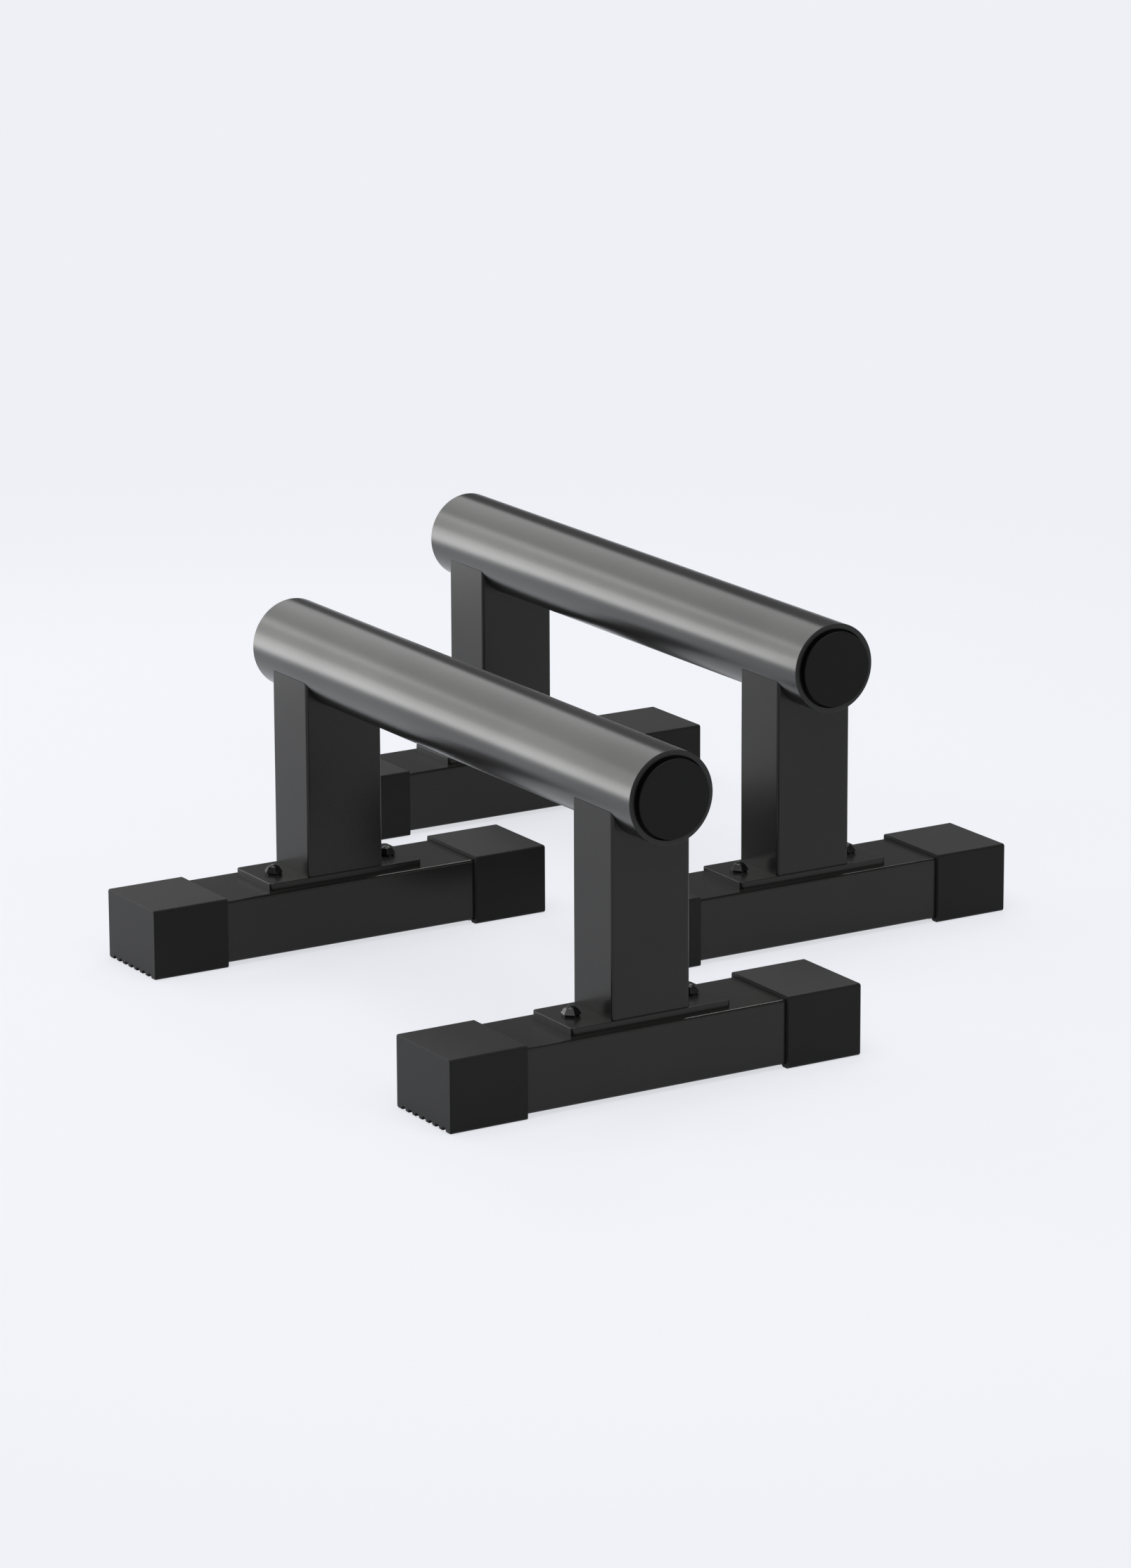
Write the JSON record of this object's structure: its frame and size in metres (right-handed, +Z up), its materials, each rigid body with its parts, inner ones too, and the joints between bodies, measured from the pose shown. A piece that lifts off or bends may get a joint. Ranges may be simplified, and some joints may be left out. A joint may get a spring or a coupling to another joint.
{
  "type": "parallette bars",
  "caption": "Low steel parallettes: a round grip tube on coped uprights, each with a base plate bolted across a foot tube that ends in grooved rubber caps.",
  "frame": {"origin": "on the floor, at the middle of the pair's box", "axes": "+X along the grips, from the back feet to the front feet; +Y from the near bar to the far bar; +Z up"},
  "size_m": [0.579, 0.469, 0.185],
  "materials": {
    "grip": "satin metallic anthracite paint",
    "frame": "semi-gloss black powder coat",
    "foot_rubber": "matt moulded black",
    "plug": "matt moulded black",
    "bolt": "glossy black coated steel",
    "nut": "bright zinc plate"
  },
  "bodies": {
    "near_bar": {"near_grip_tube": "grip", "near_grip_plug_front": "plug", "near_upright_front": "frame", "near_base_plate_front": "frame", "near_foot_tube_front": "frame", "near_foot_cap_front_left": "foot_rubber", "near_foot_cap_front_right": "foot_rubber", "near_bolts_front": "bolt", "near_weld_nuts_front": "nut", "near_grip_plug_back": "plug", "near_upright_back": "frame", "near_base_plate_back": "frame", "near_foot_tube_back": "frame", "near_foot_cap_back_left": "foot_rubber", "near_foot_cap_back_right": "foot_rubber", "near_bolts_back": "bolt", "near_weld_nuts_back": "nut"},
    "far_bar": {"far_grip_tube": "grip", "far_grip_plug_front": "plug", "far_upright_front": "frame", "far_base_plate_front": "frame", "far_foot_tube_front": "frame", "far_foot_cap_front_left": "foot_rubber", "far_foot_cap_front_right": "foot_rubber", "far_bolts_front": "bolt", "far_weld_nuts_front": "nut", "far_grip_plug_back": "plug", "far_upright_back": "frame", "far_base_plate_back": "frame", "far_foot_tube_back": "frame", "far_foot_cap_back_left": "foot_rubber", "far_foot_cap_back_right": "foot_rubber", "far_bolts_back": "bolt", "far_weld_nuts_back": "nut"}
  },
  "joints": [
    {"name": "bar_spacing", "type": "slide", "parent": "near_bar", "child": "far_bar", "axis": [0, 1, 0], "range_m": [-0.06, 0.38]}
  ]
}
